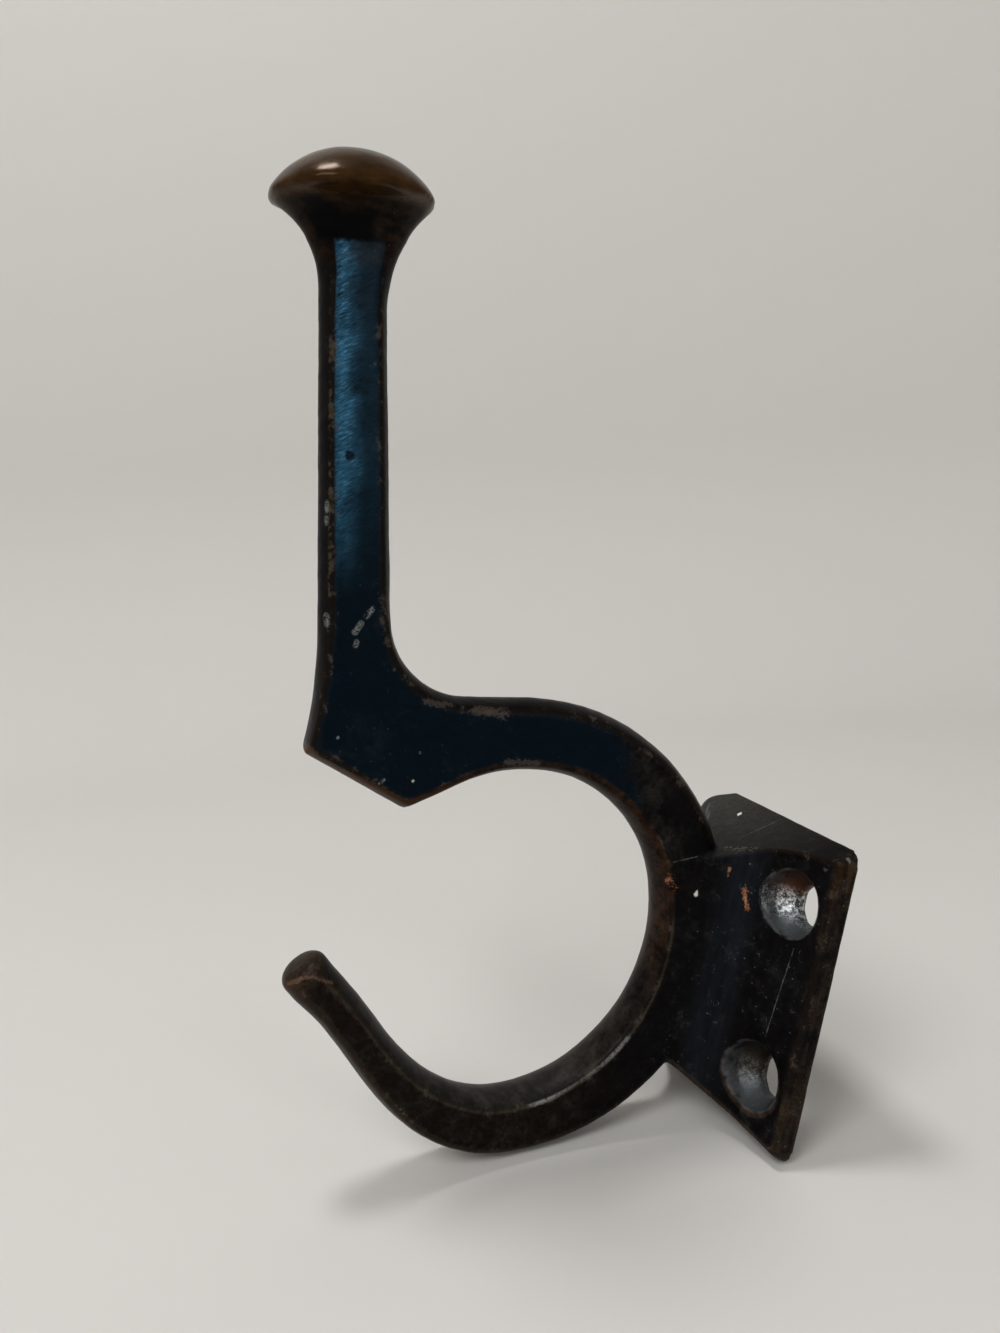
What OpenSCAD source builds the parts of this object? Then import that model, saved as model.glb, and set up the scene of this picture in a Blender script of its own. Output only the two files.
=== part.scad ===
// A one-piece cast hat-and-coat hook for screwing to a wall.
// The wall is the plane y = 0, the hook stands out along -Y, and Z is up.
// The origin is the middle of the plate's back face. All sizes are in millimetres.
// The arm is one sweep between two rails, drawn as [out from the wall, up].

/* [Wall plate] */
// Plate from side to side
plate_width = 37; // [34:0.5:44]
// Plate from top to bottom, measured on the wall
plate_height = 41; // [40:0.5:46]
// Thickness of metal at the plate's two upright edges
plate_edge = 2.8; // [2.4:0.1:3.6]
// Rounding of the plate's corners, seen from the front
plate_corner = 2; // [1:0.1:4]
// Rounding of the plate's top corner on the -X side, which is worn
worn_corner = 6; // [2:0.1:7]
// Slope of the plate's top and bottom faces, back from level
plate_slope = 28.5; // [22:0.5:32]
// How much the plate's front face rises from its edge towards the arm, in degrees
plate_taper = 12.5; // [6:0.5:15]
// Radius of the big cove between the arm and the plate
cove_r = 11; // [10:0.5:12]

/* [Screw holes] */
// Left holes to right holes, centre to centre
hole_across = 25; // [24:0.1:26]
// Upper holes to lower holes, centre to centre
hole_rise = 23; // [20:0.5:25]
// Clearance hole for the screw
hole_d = 5; // [4.2:0.1:5.6]
// Countersink for the screw head
sink_d = 8.6; // [8:0.1:9.6]
// Straight length of the clearance hole behind the countersink
hole_land = 1.2; // [0.8:0.1:1.6]

/* [Lower hook] */
// Inner radius of the lower hook, at its top
hook_r = 21.6; // [20.6:0.1:22.4]
// How far the hook's inside is nearer its centre beside the plate
wall_in = 1.7; // [0.6:0.1:2]
// Centre of the lower hook, out from the wall
hook_out = 35.8; // [35:0.1:37]
// Centre of the lower hook, above the plate's middle
hook_up = 0.3; // [-1:0.1:1.5]
// Depth of the arm at the top of the hook
depth_top = 9.1; // [8.6:0.1:10]
// Depth of the arm at the bottom of the hook
depth_low = 8; // [7:0.1:8.8]
// Depth of the straight end below its tip
depth_end = 5.6; // [4.6:0.1:6]
// Depth of the swollen tip
depth_tip = 6.2; // [5.4:0.1:6.6]
// How far the hook's inside draws in before the straight end
draw_in = 1.8; // [0.8:0.1:2.2]
// Length of the straight end
end_len = 13; // [10:0.1:15]
// How far the tip's swelling stands out on the underside
tip_drop = 0.5; // [0:0.1:1]
// Length of the tip's rounding
tip_round = 1.5; // [1:0.1:2]

/* [Shank and foot] */
// Lean of the shank away from the wall
shank_lean = 11; // [8:0.5:13]
// Middle of the shank at its foot, out from the wall
shank_out = 63.6; // [62.5:0.1:64.5]
// Height of the shank's foot above the hook's centre
shank_up = 37.7; // [37:0.1:38.5]
// Depth of the shank at its foot
shank_depth = 8.6; // [7.6:0.1:9]
// Depth of the shank under the knob
shank_depth_top = 7.6; // [7:0.1:8]
// Radius in the corner between the shank and the bar
crook_r = 10; // [8:0.1:10.5]
// Rise of the bar's top on its way to the hook
bar_rise = 8; // [6:0.5:9]
// Outer corner of the pointed foot, out from the wall
toe_out = 66.5; // [66:0.1:67.5]
// Outer corner of the pointed foot, above the hook's centre
toe_up = 19.7; // [19:0.1:20.6]
// Lower corner of the pointed foot, out from the wall
heel_out = 53.3; // [52.5:0.1:54.5]

/* [Knob] */
// Rim of the knob above the hook's centre
knob_up = 82; // [76:0.5:88]
// Knob across its rim
knob_d = 19.3; // [17.5:0.1:20.5]
// Height of the knob's dome above its rim
knob_dome = 5.8; // [5:0.1:6.5]
// Length of the flare under the knob, on the front of the shank
flare_front = 9; // [7:0.5:11]
// Length of the flare under the knob, on the back of the shank
flare_back = 12; // [9:0.5:13]
// Length of the flare under the knob, at the shank's flat sides
side_len = 5.2; // [4.4:0.1:5.6]

/* [Section of the arm] */
// Arm from side to side at the lower hook
arm_width = 6.9; // [6.2:0.1:7.6]
// Shank from side to side under the knob
shank_width = 5.5; // [5:0.1:6]
// Rise of the rounded front and back of the arm
edge_dome = 0.7; // [0.4:0.1:1]
// Bevel of the arm's long edges, along the depth
bevel_depth = 1; // [0.6:0.1:1.2]
// Bevel of the arm's long edges, across the width
bevel_width = 0.8; // [0.5:0.1:1]

/* [Hidden] */
$fn = 96;

// A blend from 0 to 1 between a and b that starts and ends level
function ease(a, b, v) = v <= a ? 0 : v >= b ? 1 : (1 - cos(180 * (v - a) / (b - a))) / 2;
function mix(a, b, f) = a + (b - a) * f;
function unit(v) = v / norm(v);

// Point at radius r round the hook's centre; the angle runs from the top towards the wall
centre = [hook_out, hook_up];
function round_hook(r, t) = centre + r * [-sin(t), cos(t)];

// Lower hook: turns at which its arc starts, has its full width, draws in, leaves the wall, ends,
// and between which it thins to its end's depth
heel_turn = -32;
full_turn = 70;
draw_turn = 170;
squeeze_end = 198;
end_turn = 225;
thin_start = draw_turn + 5;
thin_end = end_turn + 10;
function squeeze(t) = t > 0 && t < squeeze_end ? wall_in * pow(sin(180 * t / squeeze_end), 2) : 0;
function inner_r(t) = hook_r - squeeze(t) - draw_in * ease(draw_turn, end_turn, t);
function depth(t) =
    mix(mix(depth_top, depth_low, ease(90, 180, t)), depth_end, ease(thin_start, thin_end, t))
    + 0.6 * squeeze(t);
heel_start = round_hook(hook_r, heel_turn);
heel = [heel_out, heel_start[1] - (heel_out - heel_start[0]) * tan(-heel_turn)];
toe = [toe_out, hook_up + toe_up];

// Shank: two nearly straight rails that lean out from the wall
lean = [sin(shank_lean), cos(shank_lean)];
across = [cos(shank_lean), -sin(shank_lean)];
shank_foot = [shank_out, hook_up + shank_up];
shank_len = (knob_up - shank_up) / cos(shank_lean);
function shank_half(s) = mix(shank_depth, shank_depth_top, s / shank_len) / 2;
// The knob's rim stands out past the flare of the neck by this much
knob_overhang = 0.5;
// Widening of the neck at v below the knob's rim: an arc that starts h below it and ends e wider
function trumpet(v, h, e) = v > h ? 0 :
    let (r = (h * h + e * e) / (2 * e)) r - sqrt(r * r - (h - v) * (h - v));
function neck_depth(s, side) =
    trumpet(shank_len - s, side > 0 ? flare_front : flare_back,
            knob_d / 2 - knob_overhang - shank_depth_top / 2);
function neck_side(s) = trumpet(shank_len - s, side_len, side_len - 1);
function shank_rail(s, side) = shank_foot + s * lean + side * (shank_half(s) + neck_depth(s, side)) * across;

// Crook: an arc that touches the shank's back rail and the top of the bar
bar_dir = [cos(bar_rise), -sin(bar_rise)];
bar_from = round_hook(hook_r + depth_top, -bar_rise);
back_dir = unit(shank_rail(10, -1) - shank_rail(0, -1));
back_in = [-back_dir[1], back_dir[0]];
bar_in = [bar_dir[1], -bar_dir[0]] * -1;
function meet(p, u, q, v) = p + u * (((q - p)[0] * v[1] - (q - p)[1] * v[0]) / (u[0] * v[1] - u[1] * v[0]));
crook_c = meet(shank_rail(0, -1) + crook_r * back_in, back_dir, bar_from + crook_r * bar_in, bar_dir);
crook_a = atan2(-back_in[1], -back_in[0]);
crook_b = atan2(-bar_in[1], -bar_in[0]);
function crook(f) = crook_c + crook_r * [cos(mix(crook_a, crook_b, f)), sin(mix(crook_a, crook_b, f))];

// Front of the foot: from the shank's front rail the edge swings out to the toe, bending this far down
foot_swing = 10;
flare_start = shank_rail(0, 1);
flare_bend = flare_start - foot_swing * lean;
function flare(f) = mix(mix(flare_start, flare_bend, f), mix(flare_bend, toe, f), f);

// Stations along the arm: [front or inner rail, back or outer rail, width, roundness of the section]
n_top = 12;
n_shank = 10;
n_flare = 8;
n_toe = 10;
n_heel = 9;
n_hook = 60;
n_end = 6;
n_tip = 7;
foot_width = shank_width + 0.3;
heel_width = shank_width + 0.7;
bar_width = shank_width + 0.9;
end_dir = [-cos(end_turn), -sin(end_turn)];
end_in = round_hook(inner_r(end_turn), end_turn);
end_across = round_hook(1, end_turn) - centre;
function end_width(f) = mix(arm_width, arm_width - 0.5, f);
function end_depth(f) = mix(depth(end_turn), depth_tip, ease(0.45, 1, f));
tip_mid = end_in + end_len * end_dir + end_across * (depth_end / 2 + tip_drop);
stations = concat(
    [for (i = [0:n_top - 1]) let (s = shank_len - mix(0.3, flare_back, i / n_top))
        [shank_rail(s, 1), shank_rail(s, -1), shank_width + 2 * neck_side(s), pow(1 - i / n_top, 1.5)]],
    [for (i = [0:n_shank - 1]) let (s = (shank_len - flare_back) * (1 - i / n_shank))
        [shank_rail(s, 1), shank_rail(s, -1), mix(foot_width, shank_width, s / shank_len), 0]],
    [for (i = [0:n_flare - 1]) let (f = i / n_flare)
        [flare(f), mix(shank_rail(0, -1), crook(0), f), foot_width, 0]],
    [for (i = [0:n_toe - 1]) let (f = i / n_toe)
        [mix(toe, heel, f), crook(f), mix(foot_width, heel_width, f), 0]],
    [for (i = [0:n_heel - 1]) let (f = i / n_heel)
        [mix(heel, heel_start, f), mix(crook(1), bar_from, f * 0.35), mix(heel_width, bar_width, f), 0]],
    [for (i = [0:n_hook])
        let (t = mix(heel_turn, end_turn, i / n_hook), k = (t - heel_turn) / (-bar_rise - heel_turn))
        [round_hook(inner_r(t), t),
         t < -bar_rise ? mix(crook(1), bar_from, mix(0.35, 1, k)) : round_hook(inner_r(t) + depth(t), t),
         mix(bar_width, arm_width, ease(heel_turn, full_turn, t)), 0]],
    [for (i = [1:n_end])
        let (f = i / n_end, h = end_across * end_depth(f) / 2,
             m = end_in + f * end_len * end_dir + end_across * (depth_end / 2 + tip_drop * ease(0.45, 1, f)))
        [m - h, m + h, end_width(f), 0.5 * ease(0.5, 1, f)]],
    [for (i = [1:n_tip])
        let (a = 86 * i / n_tip, m = tip_mid + tip_round * sin(a) * end_dir, narrow = pow(cos(a), 0.6),
             h = end_across * depth_tip / 2 * narrow)
        [m - h, m + h, end_width(1) * narrow, 0.5 + 0.4 * sin(a)]]);

// One ring of the section: flat sides, bevelled long edges, rounded front and back
ring_n = 24;
function ring(st) =
    let (mid = (st[0] + st[1]) / 2, h = norm(st[1] - st[0]) / 2, u = (st[1] - st[0]) / (2 * h),
         w = st[2] / 2, g = st[3],
         d = min(edge_dome, h * 0.3), bd = min(bevel_depth, h * 0.3), bw = min(bevel_width, w * 0.35),
         q = [[h, 0], [h - 0.2 * d, 0.42 * (w - bw)], [h - 0.6 * d, 0.76 * (w - bw)], [h - d, w - bw],
              [h - d - 0.35 * bd, w - 0.3 * bw], [h - d - bd, w], [0, w]],
         round = [for (a = [0, 16, 32, 48, 62, 76, 90]) [h * cos(a), w * sin(a)]],
         m = [for (i = [0:6]) mix(q[i], round[i], g)],
         all = concat(m, [for (i = [1:6]) [-m[6 - i][0], m[6 - i][1]]],
                      [for (i = [1:5]) [-m[i][0], -m[i][1]]], [[0, -m[6][1]]],
                      [for (i = [1:5]) [m[6 - i][0], -m[6 - i][1]]]))
    [for (p = all) let (c = mid + u * p[0]) [p[1], -c[0], c[1]]];

module arm() {
    n = len(stations);
    rings = [for (s = stations) each ring(s)];
    sides = [for (i = [0:n - 2], j = [0:ring_n - 1])
        let (k = (j + 1) % ring_n, a = i * ring_n, b = a + ring_n)
        each [[a + j, b + k, a + k], [a + j, b + j, b + k]]];
    polyhedron(rings, concat([[for (j = [0:ring_n - 1]) j]], sides,
        [[for (j = [0:ring_n - 1]) n * ring_n - 1 - j]]), convexity = 8);
}

// Mushroom knob, turned about the shank's axis: domed top, thin rim, hollowed underside
module knob() {
    rim = 0.5;
    r = knob_d / 2;
    rise = knob_dome - rim;
    ball = (r * r + rise * rise) / (2 * rise);
    neck = shank_width / 2 - 0.15;
    hollow = ((r - 0.2 - neck) * (r - 0.2 - neck) + side_len * side_len) / (2 * (r - 0.2 - neck));
    top = shank_foot + shank_len * lean;
    translate([0, -top[0], top[1]]) rotate([shank_lean, 0, 0])
        rotate_extrude() {
            intersection() {
                translate([0, knob_dome - ball]) circle(ball);
                translate([0, rim]) square([r, knob_dome]);
            }
            square([r, rim]);
            difference() {
                translate([0, -side_len]) square([r - 0.2, side_len]);
                translate([neck + hollow, -side_len]) circle(hollow);
            }
        }
}

// Wall plate with the arm's root: one upright section, cut off at a slope above and below
module plate() {
    half = arm_width / 2;
    reach = hook_out - hook_r - 0.5;
    edge = plate_width / 2;
    top = plate_height / 2;
    slope = tan(plate_slope);
    cove_x = half + cove_r;
    cove_y = plate_edge + (edge - cove_x) * tan(plate_taper) + cove_r / cos(plate_taper);
    touch = [cove_x - cove_r * sin(plate_taper), cove_r * cos(plate_taper) - cove_y];
    intersection() {
        translate([0, 0, -top]) linear_extrude(plate_height) difference() {
            polygon([[edge, 0], [edge, -plate_edge], touch, [half + 2, -reach],
                     [-half - 2, -reach], [-touch[0], touch[1]], [-edge, -plate_edge], [-edge, 0]]);
            for (s = [-1, 1]) translate([s * cove_x, -cove_y]) circle(cove_r);
        }
        rotate([90, 0, 90]) translate([0, 0, -edge]) linear_extrude(plate_width)
            polygon([[0, -top], [0, top], [-reach, top - reach * slope], [-reach, reach * slope - top]]);
        rotate([90, 0, 0]) linear_extrude(reach) front_outline(edge, top);
    }
}

// Front view of the plate: three small corners and one worn round
module front_outline(edge, top) {
    a = plate_corner;
    b = worn_corner;
    polygon([[-edge, a - top], [a - edge, -top], [edge - a, -top], [edge, a - top],
             [edge, top - a], [edge - a, top], [b - edge, top], [-edge, top - b]]);
    for (z = [-1, 1]) translate([edge - a, z * (top - a)]) circle(a);
    translate([a - edge, a - top]) circle(a);
    translate([b - edge, top - b]) circle(b);
}

// Screw holes: clearance, then an 82-degree countersink that runs on as a straight wall, out past the cove
module screw_holes() {
    reach = 12;
    sink = (sink_d - hole_d) / 2 / tan(41);
    for (x = [-1, 1], z = [-1, 1])
        translate([x * hole_across / 2, 0, z * hole_rise / 2]) rotate([90, 0, 0]) {
            translate([0, 0, -1]) cylinder(d = hole_d, h = hole_land + 2);
            translate([0, 0, hole_land]) cylinder(d1 = hole_d, d2 = sink_d, h = sink);
            translate([0, 0, hole_land + sink]) cylinder(d = sink_d, h = reach);
        }
}

module hook() {
    color([0.16, 0.15, 0.15])
        difference() {
            union() {
                plate();
                arm();
                knob();
            }
            screw_holes();
        }
}

hook();
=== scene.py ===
import bpy
import math
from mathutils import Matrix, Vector


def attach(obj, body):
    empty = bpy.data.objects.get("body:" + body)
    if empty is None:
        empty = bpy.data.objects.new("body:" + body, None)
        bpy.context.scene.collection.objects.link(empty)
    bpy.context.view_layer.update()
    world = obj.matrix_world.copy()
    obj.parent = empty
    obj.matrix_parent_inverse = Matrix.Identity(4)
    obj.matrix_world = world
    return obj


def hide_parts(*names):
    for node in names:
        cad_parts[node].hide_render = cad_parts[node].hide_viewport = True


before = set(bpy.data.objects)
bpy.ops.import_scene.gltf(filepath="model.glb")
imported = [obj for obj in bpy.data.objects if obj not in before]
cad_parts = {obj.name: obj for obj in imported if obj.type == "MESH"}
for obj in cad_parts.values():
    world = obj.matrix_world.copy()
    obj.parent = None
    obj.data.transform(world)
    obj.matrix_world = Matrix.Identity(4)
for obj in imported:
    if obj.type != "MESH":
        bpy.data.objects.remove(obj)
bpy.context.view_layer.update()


# ---- The casting ----------------------------------------------------------------------------
# The whole hook is one iron casting: plate, root, round hook, bar, foot, shank and knob.
# It came out of a sand mould, so its edges are soft and its faces a little uneven, and years of
# handling have knocked small dents into its long edges.
MM = 1000.0              # millimetres in a metre
WELD = 0.000002          # corners closer than this, in metres, are one point
GRAIN = 0.00037          # spacing of the skin's points
EDGE_SOFTENING = 2       # rounds of smoothing that soften the cast edges
UNEVEN = 0.00006         # rise and fall of the cast faces
DENTS = 0.00016          # depth of the knocks along the edges
SEED = 4.0               # shifts where the faces swell and where the knocks fall
PROUD = 0.00028          # how far a fully exposed edge stands out from the skin round it
HOLLOW = 0.0009          # how far the deepest creases lie below the skin round them
NEAR, WIDE = 9, 40       # rounds that average the skin close round a point and further round it
WORN_NOSE = (-0.0185, -0.0028, 0.0185)           # the plate's top corner that is rubbed round
KNOB = (0.0, -0.0745, 0.0941)                    # above the knob, whose rim is rubbed smooth
# rubbed fully within the first distance and not at all past the second, in that many rounds
RUBBED_ROUND = (("Worn nose", 0.0030, 0.0075, 90), ("Knob", 0.0158, 0.0168, 16))


class Wire:
    """One output in a node tree. Numbers and vectors are added and multiplied as usual."""

    def __init__(self, board, socket):
        self.board, self.socket = board, socket

    def joined(self, operation, other, other_first=False):
        first, second = (other, self) if other_first else (self, other)
        vector = any(isinstance(term, tuple) or getattr(term, "is_vector", False)
                     for term in (first, second))
        node = self.board.tree.nodes.new("ShaderNodeVectorMath" if vector else "ShaderNodeMath")
        node.operation = operation
        for socket, term in zip(node.inputs, (first, second)):
            self.board.plug(socket, term)
        return Wire(self.board, node.outputs[0])

    @property
    def is_vector(self):
        return self.socket.type in ("VECTOR", "RGBA")

    def __add__(self, other): return self.joined("ADD", other)
    def __radd__(self, other): return self.joined("ADD", other, True)
    def __sub__(self, other): return self.joined("SUBTRACT", other)
    def __rsub__(self, other): return self.joined("SUBTRACT", other, True)
    def __mul__(self, other): return self.joined("MULTIPLY", other)
    def __rmul__(self, other): return self.joined("MULTIPLY", other, True)
    def __truediv__(self, other): return self.joined("DIVIDE", other)
    def __rtruediv__(self, other): return self.joined("DIVIDE", other, True)
    def __pow__(self, other): return self.joined("POWER", other)
    def __neg__(self): return self.joined("MULTIPLY", -1.0)
    def least(self, other): return self.joined("MINIMUM", other)
    def most(self, other): return self.joined("MAXIMUM", other)

    def size(self):
        """The length of a vector, or a number without its sign."""
        kind, operation = (("ShaderNodeVectorMath", "LENGTH") if self.is_vector
                           else ("ShaderNodeMath", "ABSOLUTE"))
        return self.board.add(kind, {"operation": operation}, {0: self}, "Value")

    def dot(self, other):
        return self.board.add("ShaderNodeVectorMath", {"operation": "DOT_PRODUCT"},
                              {0: self, 1: other}, "Value")

    def part(self, axis):
        return self.board.add("ShaderNodeSeparateXYZ", {}, {0: self}, axis)

    def ramp(self, low, high):
        """0 at low and 1 at high, with soft ends."""
        return self.board.add("ShaderNodeMapRange", {"interpolation_type": "SMOOTHSTEP"},
                              {"Value": self, "From Min": low, "From Max": high}, "Result")


class Board:
    """A node tree that nodes are added to with their settings and inputs in one call."""

    def __init__(self, tree):
        self.tree = tree
        tree.nodes.clear()

    def plug(self, socket, value):
        if isinstance(value, Wire):
            self.tree.links.new(value.socket, socket)
        elif socket.type == "VECTOR" and isinstance(value, (int, float)):
            socket.default_value = (value, value, value)
        elif socket.type == "RGBA" and len(value) == 3:
            socket.default_value = (*value, 1.0)
        else:
            socket.default_value = value

    def add(self, kind, settings={}, inputs={}, take=0):
        node = self.tree.nodes.new(kind)
        for name, value in settings.items():
            setattr(node, name, value)
        for name, value in inputs.items():
            self.plug(node.inputs[name], value)
        return Wire(self, node.outputs[take]) if node.outputs else node

    def noise(self, place, size, detail=2.0, rough=0.5, shift=(0.0, 0.0, 0.0), bend=0.0):
        """Soft random values from 0 to 1 whose lumps are about size across, in the units of place."""
        return self.add("ShaderNodeTexNoise", {},
                        {"Vector": place + shift, "Scale": 1.0 / size, "Detail": detail,
                         "Roughness": rough, "Distortion": bend}, "Fac")

    def tint(self, amount, under, over):
        """A colour that goes from under to over as amount goes from 0 to 1."""
        return self.add("ShaderNodeMix", {"data_type": "RGBA"}, {0: amount, 6: under, 7: over}, 2)


def cast_skin(finish):
    """The tree that softens the edges, makes the faces uneven and marks where the skin stands proud."""
    tree = bpy.data.node_groups.new("cast_skin", "GeometryNodeTree")
    board = Board(tree)
    sizes = {}
    face = tree.interface
    face.new_socket("Geometry", in_out="OUTPUT", socket_type="NodeSocketGeometry")
    face.new_socket("Casting", in_out="INPUT", socket_type="NodeSocketGeometry")
    for name, kind, value in (("Edge softening", "Int", EDGE_SOFTENING), ("Unevenness", "Float", UNEVEN),
                              ("Dent depth", "Float", DENTS), ("Worn nose", "Vector", WORN_NOSE),
                              ("Knob", "Vector", KNOB), ("Seed", "Float", SEED)):
        socket = face.new_socket(name, in_out="INPUT", socket_type="NodeSocket" + kind)
        socket.default_value = value
        sizes[name] = (socket.identifier, value)
    given = tree.nodes.new("NodeGroupInput")
    size = {name: Wire(board, given.outputs[name]) for name in sizes}

    def spread(value, rounds, weight=1.0):
        """value, averaged over its neighbours that many times."""
        return board.add("GeometryNodeBlurAttribute", {"data_type": "FLOAT_VECTOR"},
                         {"Value": value, "Iterations": rounds, "Weight": weight}, "Value")

    def moved(shape, **inputs):
        return board.add("GeometryNodeSetPosition", {}, {"Geometry": shape, **inputs})

    place = board.add("GeometryNodeInputPosition")
    outward = board.add("GeometryNodeInputNormal")
    shape = Wire(board, given.outputs["Casting"])
    shape = moved(shape, Position=spread(place, size["Edge softening"]))
    for name, inner, outer, rounds in RUBBED_ROUND:
        rubbed = 1.0 - (place - size[name]).size().ramp(inner, outer)
        shape = moved(shape, Position=spread(place, rounds, rubbed))
    proud = (place - spread(place, NEAR)).dot(outward) / PROUD
    hollow = (place - spread(place, WIDE)).dot(outward) / -HOLLOW
    for name, value in (("proud", proud), ("hollow", hollow)):
        shape = board.add("GeometryNodeStoreNamedAttribute", {"data_type": "FLOAT", "domain": "POINT"},
                          {"Geometry": shape, "Name": name, "Value": value})
    at = place * MM + size["Seed"]
    # lumps 7 mm and 2 mm across on all faces, and knocks 3 mm long in what stands proud
    swell = (board.noise(at, 7.0, 1.0) - 0.5) * 1.4 + (board.noise(at, 2.2, 1.0) - 0.5) * 0.6
    knocks = (board.noise(at, 2.6, 1.0, shift=(31.0, 7.0, 5.0)) - 0.58).most(0.0) * 5.0
    on_arm = place.part("Y").ramp(-0.006, -0.012) * 0.7 + 0.3
    lift = swell * size["Unevenness"] * 2.0 - knocks * proud.ramp(0.35, 0.9) * size["Dent depth"] * on_arm
    shape = moved(shape, Offset=outward * lift)
    shape = board.add("GeometryNodeSetShadeSmooth", {}, {0: shape})
    shape = board.add("GeometryNodeRealizeInstances", {}, {0: shape})
    shape = board.add("GeometryNodeSetMaterial", {}, {"Geometry": shape, "Material": finish})
    board.add("NodeGroupOutput", {}, {0: shape})
    return tree, sizes


def placed(name, data):
    """A new object in the scene that holds the data."""
    holder = bpy.data.objects.new(name, data)
    bpy.context.scene.collection.objects.link(holder)
    return holder


def bake(holder):
    """Gives an object the shape that its modifiers make, and takes the modifiers off."""
    depsgraph = bpy.context.evaluated_depsgraph_get()
    holder.data = bpy.data.meshes.new_from_object(holder.evaluated_get(depsgraph))
    holder.modifiers.clear()


finish = bpy.data.materials.new("worn_japan")

core = placed("hook_core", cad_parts["hook"].data.copy())
weld = core.modifiers.new("weld", "WELD")
weld.merge_threshold = WELD
bake(core)

casting = placed("hook_casting", core.data.copy())
skin = casting.modifiers.new("skin", "REMESH")
skin.mode = "VOXEL"
skin.voxel_size = GRAIN
fit = casting.modifiers.new("fit", "SHRINKWRAP")
fit.target = core
tree, sizes = cast_skin(finish)
surface = casting.modifiers.new("cast_skin", "NODES")
surface.node_group = tree
for identifier, value in sizes.values():
    surface[identifier] = value
bake(casting)
bpy.data.objects.remove(core)

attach(casting, "root")
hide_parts("hook")


# ---- The finish -----------------------------------------------------------------------------
# The casting was dipped in black japan and stoved. The lacquer is rubbed through to brown, coppery
# metal on the knob, the edges and the hook's tip. Painted light is laid into the colour as well: a blue
# reflection on the arm's sides with a brighter sheen up the shank, sheens in the hook and the cove,
# glints, light on the plate's top facet and shade under the knob.
# The countersinks were cut after the dip, so their walls are bare metal.
PIT_AND_SHADE_BLACK = (0.0003, 0.0003, 0.0005)
JAPAN = (0.0012, 0.0010, 0.0012)
WARM_JAPAN = (0.0052, 0.0026, 0.0012)
PAINTED_BLUE_REFLECTION = (0.0001, 0.0040, 0.0080)
PAINTED_BLUE_SHEEN = (0.026, 0.100, 0.172)
PAINTED_BLUE_GLINT = (0.11, 0.24, 0.36)
PAINTED_COVE_SHEEN = (0.0075, 0.0100, 0.0140)
RUBBED = (0.080, 0.063, 0.046)
COPPER_BROWN = (0.070, 0.027, 0.009)
BRONZE = (0.068, 0.033, 0.009)
DARK_BRONZE = (0.017, 0.0075, 0.003)
COPPER = (0.16, 0.050, 0.018)
PALE_COPPER = (0.40, 0.21, 0.12)
BARE_METAL_GLINT = (0.62, 0.64, 0.65)
SLATE_METAL = (0.075, 0.083, 0.087)
STAINED_METAL = (0.095, 0.044, 0.024)
DULL_METAL = (0.040, 0.034, 0.029)
DUST = (0.105, 0.110, 0.120)
CHALK = (0.17, 0.18, 0.175)
SCUFF = (0.072, 0.060, 0.052)
BRUISED = (0.026, 0.023, 0.019)
PAINTED_INNER_SHEEN = (0.0140, 0.0150, 0.0145)
FACET_LIGHT_AND_DUST = (0.052, 0.051, 0.045)
PAINTED_GLINT_GREY = (0.24, 0.24, 0.23)
GRIME = (0.12, 0.115, 0.085)
WORN_TIP = (0.15, 0.095, 0.060)
PAINT = (0.66, 0.64, 0.59)

RELIEF, RELIEF_STRENGTH = 0.00012, 0.35          # depth of the fine relief, in metres, and how much shows
SHINE = 0.045                                    # the aged lacquer mirrors very little

# places on the casting, in millimetres: out from the wall, up and to one side
HOLE_SIDE, HOLE_UP, SINK_R = 12.5, 11.5, 4.35    # the screw holes' centres and their countersinks
HOOK_OUT, HOOK_UP = 35.8, 0.3                    # the middle of the round hook
SHANK_OUT, SHANK_UP = 63.6, 38.0                 # the foot of the shank
KNOB_OUT, KNOB_UP = 72.2, 82.3                   # the middle of the knob's rim
LEAN_SIN, LEAN_COS = 0.1908, 0.9816              # the shank leans out by 11 degrees
STROKE_SLOPE = math.radians(-38)                 # how the file strokes cross the arm's sides
BLUE_OUT, BLUE_UP, BLUE_START = 0.91, 0.41, 12.8 # the slanting line past which the arm's sides get the painted blue reflection

# what is known of each spot: its place, the way it faces, how far it stands proud of the skin
# round it, and four grains of soft noise
finish.use_nodes = True
board = Board(finish.node_tree)
spot = board.add("ShaderNodeTexCoord", {}, {}, "Object") * MM
facing = board.add("ShaderNodeTexCoord", {}, {}, "Normal")
proud = board.add("ShaderNodeAttribute", {"attribute_name": "proud"}, {}, "Fac")
near_edge = -board.add("ShaderNodeAttribute", {"attribute_name": "hollow"}, {}, "Fac")
side, out, up = spot.part("X"), -spot.part("Y"), spot.part("Z")
sideways = facing.part("X").size()
turned_side = (sideways - facing.part("Y").size()).ramp(0.0, 0.2)
flat_side = sideways.ramp(0.93, 0.99)

patch = board.noise(spot, 5.0, 3.0, 0.6)
blot = board.noise(spot, 1.7, 3.0, 0.65, shift=(40.0, 0.0, 9.0))
speck = board.noise(spot, 0.55, 2.0, 0.6, shift=(9.0, 80.0, 3.0))
fine = board.noise(spot, 0.20, 2.0, 0.6)


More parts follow.
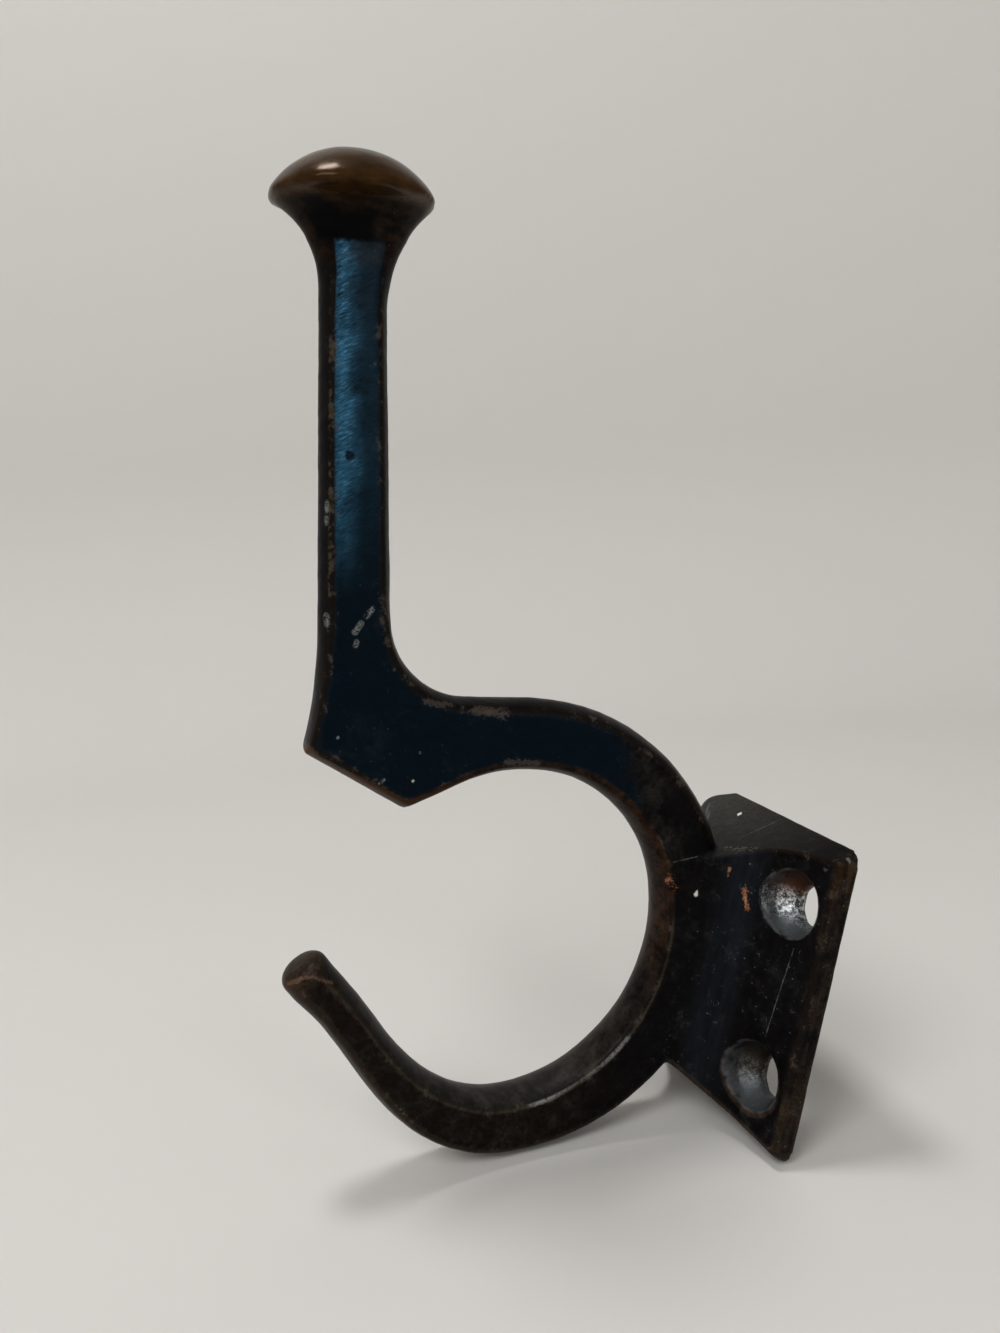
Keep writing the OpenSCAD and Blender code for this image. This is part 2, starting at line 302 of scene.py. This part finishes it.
def mark(start, end, width, ragged=0.0, taper=0.0, across=False):
    """A mark of that width along a line, in millimetres. taper thins its end, and across carries it
    right through the casting from side to side."""
    run = Vector(end) - Vector(start)
    from_start = (spot - start) * ((0.0, 1.0, 1.0) if across else (1.0, 1.0, 1.0))
    along = (from_start.dot(tuple(run)) / max(run.length_squared, 0.0001)).most(0.0).least(1.0)
    nearest = board.add("ShaderNodeVectorMath", {"operation": "SCALE"}, {0: tuple(run), "Scale": along})
    away = (from_start - nearest).size() + along * taper + (speck * 0.6 + fine * 0.4 - 0.5) * ragged
    return 1.0 - away.ramp(width * 0.5, width)


def any_of(*masks):
    """The strongest of several masks."""
    found = masks[0]
    for mask in masks[1:]:
        found = found.most(mask)
    return found


def marks(lines, across=False):
    """Several marks in one mask. Each line holds what mark takes: start, end, width, ragged, taper."""
    return any_of(*[mark(*line, across=across) for line in lines])


def up_shank(from_out, from_up):
    """How far up along the leaning shank a spot lies from one of its places."""
    return (up - from_up) * LEAN_COS + (out - from_out) * LEAN_SIN


# where each kind of surface is, from 0 off it to 1 on it
on_plate = 1.0 - out.ramp(9.0, 14.0)
lower_hook = (1.0 - up.ramp(0.0, 12.0)) * out.ramp(16.0, 28.0)
to_centre = (spot + (0.0, HOOK_OUT, -HOOK_UP)) * (0.0, -1.0, -1.0)
from_centre = to_centre.size()
toward = facing.dot(to_centre) / from_centre
inside = toward.ramp(0.45, 0.80) * (1.0 - from_centre.ramp(25.5, 26.5))
inside_top = inside * up.ramp(-9.0, 1.0)
rim_top = proud.ramp(0.22, 0.36) * (1.0 - from_centre.ramp(23.6, 24.6)) * up.ramp(1.0, 9.0)
past_line = out * BLUE_OUT - up * BLUE_UP - BLUE_START + (patch - 0.5) * 5.0 + (blot - 0.5) * 1.5
arm_side = flat_side * up.ramp(9.0, 13.0)
# painted reflection: the arm's sides turn blue past the slanting line
blue = arm_side * past_line.ramp(-1.0, 2.2)
greyed = arm_side * past_line.ramp(-6.0, -1.0) * (1.0 - blue)
lengthwise = up_shank(SHANK_OUT, SHANK_UP)
crosswise = (out - SHANK_OUT) * LEAN_COS - (up - SHANK_UP) * LEAN_SIN
front_rail = crosswise.ramp(2.2, 3.6) * lengthwise.ramp(-2.0, 3.0)
under_knob = (lengthwise + (speck - 0.5) * 0.8).ramp(40.5, 41.1)
along_knob = up_shank(KNOB_OUT, KNOB_UP)
knob_top = along_knob.ramp(-0.9, 0.3)
flare = along_knob.ramp(-7.5, -4.5) * (1.0 - knob_top)
on_knob = along_knob.ramp(-8.0, -6.0)
foot_rim = marks([((0, -66.3, 20.2), (0, -53.4, 16.0), 0.55, 0.5),
                  ((0, -53.4, 16.0), (0, -47.0, 19.4), 0.5, 0.5)], across=True)
toe_corner = mark((0, -66.4, 20.4), (0, -66.0, 20.2), 1.2, 1.2, across=True)
tip = mark((0, -61.6, -5.6), (0, -63.2, -7.0), 2.6, 1.0, across=True)
tip_rim = marks([((0, -63.3, -7.7), (0, -62.2, -6.6), 0.24, 0.9),
                 ((0, -62.2, -6.6), (0, -60.8, -6.2), 0.22, 0.8),
                 ((0, -60.8, -6.2), (0, -58.3, -6.9), 0.20, 0.8)], across=True)
edge_band = on_plate * side.size().ramp(17.2, 18.2)
top_face = on_plate * facing.part("Z").ramp(0.45, 0.75)
cove = on_plate * sideways.ramp(0.12, 0.40) * (1.0 - sideways.ramp(0.80, 0.97))
cove = cove * (1.0 - side.size().ramp(6.5, 9.5)) * (1.0 - top_face)
hole_side, hole_up = side.size() - HOLE_SIDE, up.size() - HOLE_UP
hole_square = hole_side ** 2.0 + hole_up ** 2.0
from_hole = hole_square ** 0.5

# file strokes across the arm's sides, and the painted blue sheen up the shank: a reflection painted as
# colour, brightest in a streak toward the front edge
strokes = board.add("ShaderNodeMapping", {}, {"Vector": spot, "Rotation": (STROKE_SLOPE, 0.0, 0.0)})
hatch = board.noise(strokes * (1.0, 0.20, 1.0), 0.19, 2.0, 0.6)
streak = (crosswise + (patch - 0.5) * 2.2).ramp(-1.0, 2.2) * 0.88 + 0.11
ragged_edge = (crosswise + (blot - 0.5) * 1.0 + (speck - 0.5) * 1.0).ramp(2.3, 2.9)
sheen = lengthwise.ramp(0.0, 18.0) * (1.0 - ragged_edge * 0.8) * (1.0 - under_knob) * streak * blue
brushed = (hatch - 0.5) * 1.9 + (patch - 0.5) * 1.6 + (blot - 0.5) * 0.6 + 0.75
sheen = (sheen * brushed).most(0.0).least(1.0)
warmed = any_of(lower_hook * (0.85 - inside * 0.6), near_edge.ramp(0.2, 0.5) * 0.4)
colour = board.tint(warmed, JAPAN, WARM_JAPAN)
bruised = (blot * 0.8 + speck * 0.5 + patch * 0.5 - 0.78).most(0.0)
bruised = bruised * (lower_hook * 0.9 + greyed * 1.3 + 0.25) * (1.0 - inside * 0.7)
colour = board.tint(bruised.least(1.0), colour, BRUISED)
# painted sheen: a patchy grey reflection painted on the inside of the lower hook
colour = board.tint(inside * lower_hook * (0.3 + patch * 0.7), colour, PAINTED_INNER_SHEEN)
# the painted blue reflection, then the brighter painted sheen over it
colour = board.tint((blue * (0.7 + patch * 0.5)).least(1.0), colour, PAINTED_BLUE_REFLECTION)
colour = board.tint(sheen, colour, PAINTED_BLUE_SHEEN)
# painted glints: pale blue hairs on the file strokes where the painted sheen is bright
stroke_glints = (hatch - 0.55).ramp(0.0, 0.16) * sheen.ramp(0.30, 0.85) * (blot * 1.8 - 0.35).most(0.0)
colour = board.tint(stroke_glints * 0.42, colour, PAINTED_BLUE_GLINT)
drawn_down = board.noise(spot * (1.0, 1.0, 0.12), 0.9, 3.0, 0.7, shift=(2.0, 2.0, 2.0))
# painted sheen: a bluish-grey reflection in streaks running down the cove where the arm meets the plate
colour = board.tint(cove * (drawn_down * 1.6 - 0.25).most(0.0), colour, PAINTED_COVE_SHEEN)

# dust and faint bruises, thickest on the plate and along the lower hook, and painted light on the plate's
# top facet
cells = board.add("ShaderNodeTexVoronoi", {}, {"Vector": spot, "Scale": 1.1}, "Distance")
dots = 1.0 - (cells + (speck - 0.5) * 0.30 + (fine - 0.5) * 0.25).ramp(0.02, 0.13)
dots = dots * (patch + blot - 0.86).ramp(0.0, 0.25)
cloud = (patch * 0.6 + blot * 0.4 + speck * 0.3 - 0.66).ramp(0.0, 0.35)
swirl = board.noise(spot, 3.2, 1.0, bend=1.5, shift=(3.0, 7.0, 1.0))
hairs = 1.0 - (swirl - 0.5).size().ramp(0.002, 0.008)
hairs = hairs * (blot - 0.52).ramp(0.0, 0.1) * (on_plate * 0.6 + 0.12)
dusty = any_of(dots * (0.20 + on_plate * 0.50), cloud * (0.06 + on_plate * 0.13 + lower_hook * 0.12),
               hairs * 0.55)
colour = board.tint(dusty * (1.0 - top_face * 0.7), colour, DUST)
# painted light from above: the plate's upward facet is paled, more toward its far side, broken up like
# dust
top_light_and_dust = top_face * (0.55 - side / 28.0).most(0.0) * (blot * 0.9 + speck * 0.7 + fine * 0.7 - 0.50)
colour = board.tint(top_light_and_dust.least(0.8), colour, FACET_LIGHT_AND_DUST)

# handling wear: short bare lengths along each crease, spreading into the faces here and there
bare = blot * 1.1 + speck * 0.5 + fine * 0.3 + (patch - 0.5) * 0.8 + front_rail * 0.20
bare = (bare - 1.02).ramp(0.0, 0.20)
crease = (proud + (speck - 0.5) * 0.35).ramp(0.20, 0.34) * (bare * 0.52 + 0.04 + lower_hook * 0.10)
clear_of_holes = hole_square.ramp(30.0, 42.0)
spread = (near_edge + (patch - 0.5) * 1.1 + (blot - 0.5) * 1.0 + (speck - 0.5) * 0.5).ramp(0.74, 0.92)
unworn = (1.0 - on_knob) * (1.0 - on_plate * (1.0 - clear_of_holes))
unworn = unworn * (1.0 - inside * (1.0 - up.ramp(-2.0, 8.0)) * 0.6)
crease, spread = crease * unworn, spread * unworn
mottle = (blot * 0.7 + patch * 0.5 + speck * 0.35 - 0.58).ramp(0.0, 0.45)
edge_worn = edge_band * (drawn_down * 0.9 + patch * 0.9 + blot * 0.5 + speck * 0.4 - 1.15).ramp(0.0, 0.5)
low_edge = on_plate * proud.ramp(0.15, 0.35) * (1.0 - up.ramp(-14.0, -9.0)) * (0.2 + mottle * 0.8)
corner = mark((18.4, -1.1, 18.8), (18.5, -0.9, 14.8), 0.8, 1.6, taper=0.5)
long_crease = (proud + (fine - 0.5) * 0.3).ramp(0.10, 0.30) * (0.25 + mottle * 0.60)
inner_side = (1.0 - up.ramp(2.0, 10.0)) * (1.0 - from_centre.ramp(23.0, 24.5)).most(lower_hook)
inner_line = long_crease * inner_side * toward.ramp(0.12, 0.26) * (1.0 - toward.ramp(0.36, 0.55))
outer_line = long_crease * lower_hook * toward.ramp(-0.20, -0.45)
rubbed = any_of(crease, spread * 0.26, edge_worn * 0.26, inner_line * 0.6, outer_line * 0.5,
                corner * 0.45, low_edge * 0.5, inside * mottle * 0.26, inside_top * mottle * 0.45,
                rim_top * mottle * 0.5, foot_rim * 0.6, toe_corner * 0.8,
                tip * (0.12 + mottle * 0.45)).least(1.0)
coppery = any_of(inside_top * 0.7, rim_top * 0.9, foot_rim, toe_corner * 0.6, tip * 0.4, outer_line,
                 low_edge * 0.7, edge_band * (patch - 0.4).ramp(0.0, 0.3))
brown = board.tint(edge_band, COPPER_BROWN, BRONZE)
colour = board.tint(rubbed, colour, board.tint(coppery, RUBBED, brown))

# the knob, polished brown by hats and hands, and painted shade, black, where its neck meets the shank's
# sides
smear = board.noise(spot * (1.0, 1.0, 2.2), 3.2, 3.0, 0.6, shift=(5.0, 5.0, 5.0))
on_flare = flare * (smear * 1.3 + blot * 0.4 - 0.68).most(0.0)
polished = (knob_top * (0.55 + smear * 0.6)).most(on_flare).least(1.0)
bronze = board.tint((smear * 1.4 - 0.2).least(1.0).most(0.0), DARK_BRONZE, BRONZE)
colour = board.tint(polished, colour, bronze)
# painted shade: black on the shank's sides just under the knob's rim
shade_under_knob = under_knob * turned_side * (crosswise + (blot - 0.5) * 2.0).ramp(-2.6, -1.4)
shade_under_knob = shade_under_knob * (1.0 - (along_knob + (blot - 0.5) * 2.2).ramp(-2.1, -0.6))

# countersinks, with chatter from the cutter round their walls, and painted glints where the lamps catch
# the bare metal
in_sink = 1.0 - (from_hole + (speck - 0.5) * 0.3).ramp(SINK_R - 0.20, SINK_R + 0.05)
in_sink = in_sink * on_plate * out.ramp(0.1, 0.4)
turned = board.add("ShaderNodeCombineXYZ", {},
                   {0: hole_side / from_hole, 1: hole_up / from_hole, 2: out * 0.25})
chatter = board.noise(turned, 0.22, 4.0, 0.75)
upper = up.ramp(-1.0, 1.0)
above = up - (upper * 2.0 - 1.0) * HOLE_UP
stained = (above + (1.0 - upper) * 1.2).ramp(-0.8, 1.0)
rust = (patch * 0.8 + speck * 0.6 - 0.45).ramp(0.0, 0.35) * upper
walls = board.tint(stained, SLATE_METAL, board.tint(rust, DULL_METAL, STAINED_METAL))
# painted glints: bright bare metal only in a band across each wall, broken up by the chatter
sink_glints = 1.0 - (above + 0.7).size().ramp(0.5, 2.6)
sink_glints = sink_glints * (chatter * 0.8 + speck * 0.8 + fine * 0.6 - 1.02).ramp(0.0, 0.22)
walls = board.tint(sink_glints * (0.12 + upper * 0.88), walls, BARE_METAL_GLINT)
colour = board.tint(in_sink, colour, walls)
cut_rim = 1.0 - (from_hole - SINK_R).size().ramp(0.06, 0.22)
cut_rim = cut_rim * on_plate * out.ramp(0.1, 0.4) * (blot * 2.0 - 0.75).most(0.0)
colour = board.tint(cut_rim.least(0.4), colour, DUST)

# flecks of wall paint, pale smudges, scuffs, chips down to the metal, scratches and dirt, with painted
# shade under the knob and painted glints
paint = marks([((-4.6, -3.3, 18.7), (-5.05, -2.74, 19.0), 0.42, 0.12, 0.38),
               ((-4.6, -3.3, 18.7), (-4.15, -3.86, 18.4), 0.42, 0.12, 0.38),
               ((3.8, -12.5, 8.9), (3.8, -12.4, 9.8), 0.40, 0.30, 0.42),
               ((2.9, -53.3, 18.9), (2.9, -53.3, 18.9), 0.30, 0.3)])
smudge = marks([((1.9, -69.0, 49.2), (1.9, -69.0, 48.5), 0.62, 1.2),
                ((1.9, -68.8, 47.5), (1.9, -68.8, 47.1), 0.55, 1.2),
                ((1.9, -66.6, 37.6), (1.9, -66.6, 37.4), 0.45, 0.8),
                ((2.0, -66.8, 36.4), (2.0, -66.5, 35.7), 0.75, 1.0),
                ((2.2, -66.3, 34.9), (2.2, -66.3, 34.9), 0.40, 0.7),
                ((2.9, -62.0, 38.3), (2.9, -62.5, 37.4), 0.45, 0.8),
                ((2.9, -63.0, 36.4), (2.9, -63.5, 35.3), 0.50, 0.9),
                ((2.9, -63.1, 34.2), (2.9, -63.1, 33.8), 0.45, 0.8),
                ((3.0, -56.8, 18.6), (3.0, -57.3, 18.0), 0.25, 0.6),
                ((2.9, -63.2, 22.8), (2.9, -63.2, 22.8), 0.30, 0.7),
                ((3.1, -53.1, 22.4), (3.1, -53.1, 22.4), 0.25, 0.7)])
smudge = smudge * (fine * 0.7 + speck * 0.6 - 0.51).ramp(0.0, 0.25)
scuffs = marks([((2.9, -50.5, 28.8), (2.9, -53.5, 28.6), 0.5, 3.6),
                ((2.9, -46.5, 28.9), (2.9, -43.5, 28.3), 0.6, 4.0),
                ((3.2, -34.5, 21.2), (3.2, -32.5, 20.6), 0.5, 2.6),
                ((3.2, -42.0, 22.7), (3.2, -38.0, 23.1), 0.5, 3.0)])
chips = marks([((2.9, -16.4, 10.4), (2.9, -17.1, 12.6), 0.55, 2.4, 0.5),
               ((2.9, -16.5, 10.3), (2.9, -15.4, 9.4), 0.6, 2.6, 0.2),
               ((5.1, -9.2, 13.2), (5.1, -9.2, 12.0), 0.28, 1.4, 0.2),
               ((6.6, -7.3, 11.0), (7.2, -6.8, 8.8), 0.36, 2.8)])
scratches = marks([((14.5, -3.68, 6.4), (13.2, -3.97, -5.8), 0.10, 0.40),
                   ((2.2, -6.8, 16.8), (1.8, -1.4, 19.7), 0.12, 0.30),
                   ((3.4, -16.6, 12.8), (3.4, -13.4, 13.9), 0.12, 0.15)])
dirt = marks([((3.4, -9.2, 15.5), (6.5, -7.2, 16.6), 0.9, 2.4),
              ((6.5, -7.2, 16.6), (9.5, -5.6, 17.5), 0.5, 2.0)])
dirt = dirt * (fine * 0.4 + speck * 0.6).ramp(0.50, 0.60)
pit = mark((2.8, -67.8, 54.9), (2.8, -67.8, 54.9), 0.72, 0.6) * 0.85
# the pit is a real dark dot; the black under the knob is painted shade
colour = board.tint(pit.most(shade_under_knob), colour, PIT_AND_SHADE_BLACK)
colour = board.tint(dirt * 0.55, colour, GRIME)
colour = board.tint(scratches * (0.10 + blot.ramp(0.38, 0.62) * 0.50), colour, DUST)
colour = board.tint(tip_rim * (0.1 + blot * 0.6), colour, WORN_TIP)
# painted highlights: a broken glint along the worn inner crease of the lower hook and a spot on the
# plate's top corner
painted_glint = mark((2.9, -28.6, -20.0), (2.9, -18.9, -12.1), 2.2)
painted_glint = painted_glint * toward.ramp(0.10, 0.26) * (1.0 - toward.ramp(0.42, 0.62))
painted_glint = painted_glint * proud.ramp(0.08, 0.28) * (speck * 0.7 + fine * 0.5 - 0.42).ramp(0.0, 0.22)
corner_glint = mark((18.2, -1.5, 19.4), (18.4, -1.3, 18.9), 0.34, 0.7, taper=0.3) * 0.7
painted_glint = any_of(painted_glint, corner_glint)
colour = board.tint(painted_glint * 0.7, colour, PAINTED_GLINT_GREY)
colour = board.tint(scuffs * 0.5, colour, SCUFF)
colour = board.tint(smudge * 0.8, colour, CHALK)
colour = board.tint(chips, colour, board.tint(speck.ramp(0.35, 0.65), COPPER, PALE_COPPER))
colour = board.tint(paint, colour, PAINT)

metal = any_of(rubbed * 0.5, painted_glint * 0.6, knob_top * 0.30, in_sink, sheen * 0.7, chips * 0.5)
metal = metal * (1.0 - paint)
rough = 0.34 + (blot - 0.5) * 0.22 + rubbed * 0.10 - knob_top * 0.12 + in_sink * 0.06
rough = rough + any_of(smudge, paint, dirt, top_face) * 0.3
relief = fine * 0.25 + speck * 0.45 + hatch * blue * 0.9 + top_face * drawn_down * 2.0 - crease * 0.4
relief = relief + paint * 1.5 + dirt * speck * 3.0 - pit * 0.8 - scratches * 0.6
relief = relief * (1.0 - on_knob * 0.7) + in_sink * (chatter + speck + fine) * 1.8
bump = board.add("ShaderNodeBump", {},
                 {"Strength": RELIEF_STRENGTH, "Distance": RELIEF, "Height": relief}, "Normal")
shell = board.add("ShaderNodeBsdfPrincipled", {},
                  {"Base Color": colour, "Metallic": metal, "Roughness": rough, "Normal": bump,
                   "Specular IOR Level": SHINE}, "BSDF")
board.add("ShaderNodeOutputMaterial", {}, {"Surface": shell})


# ---- Camera, floor, backdrop and light --------------------------------------------------------
# The loose hook stands on the plate's lower edge and on the bottom of its round hook. Under it
# lies one sheet of pale card that curves up behind it, and three soft lamps light it from above.
lowest = min(v.co.z for v in casting.data.vertices if v.co.y > -0.0015)
slope = min((v.co.z - lowest) / -v.co.y for v in casting.data.vertices if v.co.y < -0.01)
tilt = math.atan(-slope)
rise = Vector((0, -math.sin(tilt), math.cos(tilt)))
table_z = min(v.co.dot(rise) for v in casting.data.vertices)

# held to one side and a little ahead, and not quite level
camera = placed("camera", bpy.data.cameras.new("camera"))
camera.location = (0.12845, -0.08863, 0.04506)
camera.rotation_euler = [math.radians(a) for a in (85.244, -11.279, 71.884)]
camera.data.lens = 29.707
camera.data.sensor_width = 36.0
camera.data.clip_start = 0.005
bpy.context.scene.camera = camera


def on_table(x, y, z):
    """A point given along and above the table, in the casting's frame."""
    cos, sin = math.cos(tilt), math.sin(tilt)
    return Vector((x, y * cos - (z + table_z) * sin, y * sin + (z + table_z) * cos))


def plain(name, colour, rough):
    paint = bpy.data.materials.new(name)
    paint.use_nodes = True
    shader = paint.node_tree.nodes["Principled BSDF"]
    shader.inputs["Base Color"].default_value = (*colour, 1.0)
    shader.inputs["Roughness"].default_value = rough
    return paint


# a round sheet of pale card that curves up into a wall on every side
PALE_CARD, CARD_ROUGH = (0.63, 0.615, 0.59), 0.85
CARD_X, CARD_Y = 0.25, -0.04
CARD_R, CARD_BEND, CARD_TOP = 0.57, 0.10, 0.75
TURNS, BEND_STEPS = 96, 12
profile = [(CARD_R - CARD_BEND + CARD_BEND * math.sin(a), CARD_BEND - CARD_BEND * math.cos(a))
           for a in [math.radians(i * 90 / BEND_STEPS) for i in range(BEND_STEPS + 1)]]
profile.append((CARD_R, CARD_TOP))
verts = [on_table(CARD_X + r * math.cos(t), CARD_Y + r * math.sin(t), z)
         for r, z in profile for t in [2 * math.pi * i / TURNS for i in range(TURNS)]]
faces = [tuple(reversed(range(TURNS)))]
for row in range(len(profile) - 1):
    for i in range(TURNS):
        j = (i + 1) % TURNS
        faces.append(tuple(row * TURNS + k for k in (i, j, j + TURNS, i + TURNS)))
card = bpy.data.meshes.new("backdrop")
card.from_pydata(verts, [], faces)
card.polygons.foreach_set("use_smooth", [True] * len(card.polygons))
card.materials.append(plain("pale_card", PALE_CARD, CARD_ROUGH))
backdrop = placed("backdrop", card)


def lamp(name, at, aim, width, watts):
    light = bpy.data.lights.new(name, "AREA")
    light.shape = "DISK"
    light.size = width
    light.energy = watts
    holder = placed(name, light)
    holder.location = at
    holder.rotation_euler = (Vector(aim) - Vector(at)).to_track_quat("-Z", "Y").to_euler()


middle = Vector((0.0, -0.04, 0.03))
lamp("ceiling", middle + Vector((-0.08, -0.26, 0.54)), middle, 0.13, 1.4)
lamp("left_front", middle + Vector((0.30, -0.42, 0.34)), middle, 0.30, 1.7)
lamp("window", middle + Vector((0.57, 0.07, 0.24)), middle + Vector((0, -0.03, 0.03)), 0.22, 0.5)

ROOM_LIGHT = (0.22, 0.22, 0.22, 1.0)
world = bpy.data.worlds.new("room")
bpy.context.scene.world = world
world.use_nodes = True
world.node_tree.nodes["Background"].inputs["Color"].default_value = ROOM_LIGHT
bpy.context.scene.view_settings.view_transform = "Standard"
